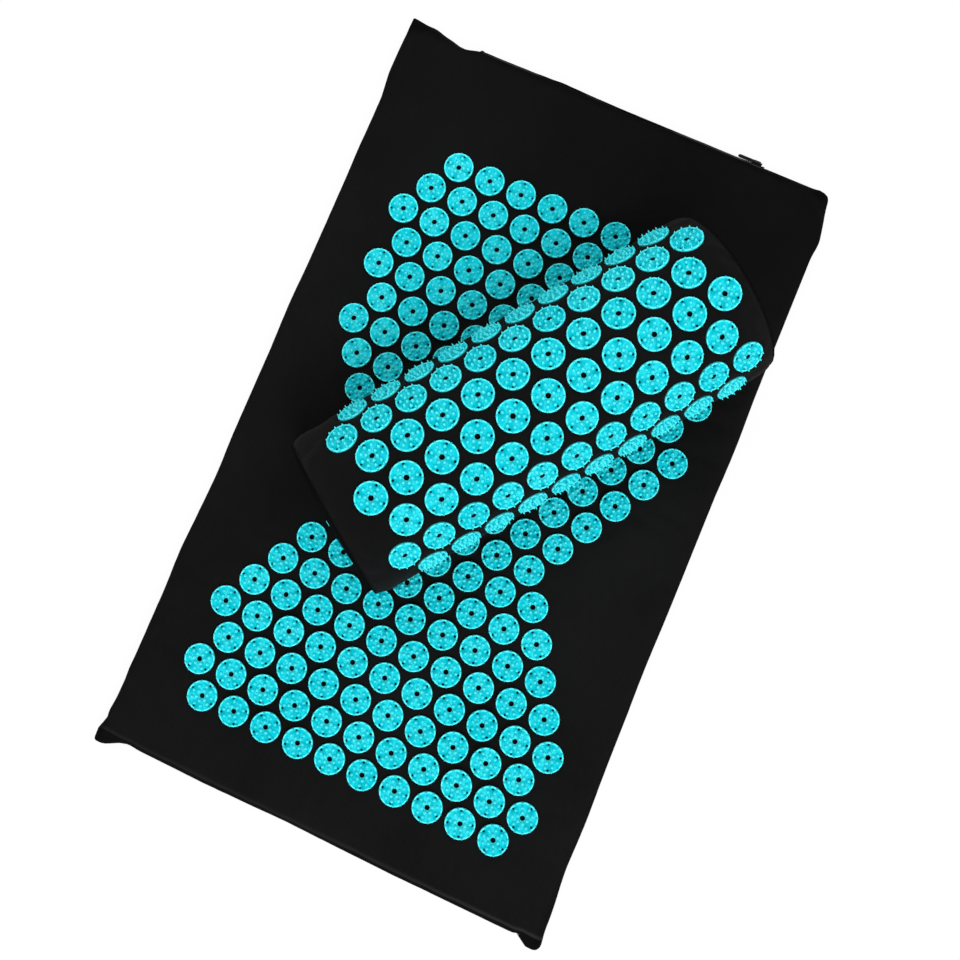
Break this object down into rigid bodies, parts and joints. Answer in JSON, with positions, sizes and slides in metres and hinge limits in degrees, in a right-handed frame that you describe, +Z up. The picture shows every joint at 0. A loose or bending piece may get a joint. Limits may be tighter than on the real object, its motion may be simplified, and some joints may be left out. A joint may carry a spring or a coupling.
{
  "type": "acupressure mat",
  "caption": "Flat cotton-covered foam mat with rows of spiked plastic discs, and a matching half-round neck pillow lying loose across it.",
  "frame": {"origin": "middle of the mat's underside, on the plane that it rests on", "axes": "+X across the mat's width, +Y along its length towards the end with the zip, +Z up from the underside through the discs"},
  "size_m": [0.455, 0.776, 0.1311],
  "materials": {
    "black_cotton": "matt black woven cotton",
    "cyan_plastic": "moulded plastic, semi-gloss, bright cyan",
    "pale_foam": "open-cell foam, pale cream",
    "zip_nylon": "black nylon coil and woven tape",
    "zip_metal": "black-lacquered zinc alloy, semi-gloss"
  },
  "bodies": {
    "mat": {"mat_foam_pad": "pale_foam", "mat_cover_top": "black_cotton", "mat_cover_bottom": "black_cotton", "mat_zip_tape_upper": "zip_nylon", "mat_zip_tape_lower": "zip_nylon", "mat_zip_stop_left": "zip_metal", "mat_zip_stop_right": "zip_metal", "mat_spike_disc_01": "cyan_plastic", "mat_spike_disc_02": "cyan_plastic", "mat_spike_disc_03": "cyan_plastic", "mat_spike_disc_04": "cyan_plastic", "mat_spike_disc_05": "cyan_plastic", "mat_spike_disc_06": "cyan_plastic", "mat_spike_disc_07": "cyan_plastic"},
    "mat_zip_slider": {"mat_zip_slider": "zip_metal"},
    "mat_zip_pull": {"mat_zip_pull_tab": "zip_metal"},
    "pillow": {"pillow_foam_core": "pale_foam", "pillow_cover_top": "black_cotton", "pillow_end_left": "black_cotton", "pillow_end_right": "black_cotton", "pillow_base_panel": "black_cotton", "pillow_zip_tape_upper": "zip_nylon", "pillow_zip_tape_lower": "zip_nylon", "pillow_zip_stop_left": "zip_metal", "pillow_zip_stop_right": "zip_metal", "pillow_spike_disc_01": "cyan_plastic", "pillow_spike_disc_02": "cyan_plastic", "pillow_spike_disc_03": "cyan_plastic", "pillow_spike_disc_04": "cyan_plastic", "pillow_spike_disc_05": "cyan_plastic", "pillow_spike_disc_06": "cyan_plastic", "pillow_spike_disc_07": "cyan_plastic", "pillow_spike_disc_08": "cyan_plastic", "pillow_spike_disc_09": "cyan_plastic", "pillow_spike_disc_10": "cyan_plastic", "pillow_spike_disc_11": "cyan_plastic"},
    "pillow_zip_slider": {"pillow_zip_slider": "zip_metal"},
    "pillow_zip_pull": {"pillow_zip_pull_tab": "zip_metal"}
  },
  "joints": [
    {"name": "pillow_lift", "type": "slide", "parent": "mat", "child": "pillow", "axis": [0, 0, 1], "range_m": [0, 0.15]},
    {"name": "mat_zip_run", "type": "slide", "parent": "mat", "child": "mat_zip_slider", "axis": [0.9996, -0.0291, 0], "range_m": [-0.2828, 0]},
    {"name": "mat_zip_tab_swing", "type": "hinge", "parent": "mat_zip_slider", "child": "mat_zip_pull", "pos_m": [0.14141, 0.37338, 0.01], "axis": [0, 0, -1], "range_deg": [0, 180]},
    {"name": "pillow_zip_run", "type": "slide", "parent": "pillow", "child": "pillow_zip_slider", "axis": [0.6053, 0.796, 0], "range_m": [-0.2828, 0]},
    {"name": "pillow_zip_tab_swing", "type": "hinge", "parent": "pillow_zip_slider", "child": "pillow_zip_pull", "pos_m": [0.05152, 0.22509, 0.0413], "axis": [0, 0, -1], "range_deg": [0, 180]}
  ]
}
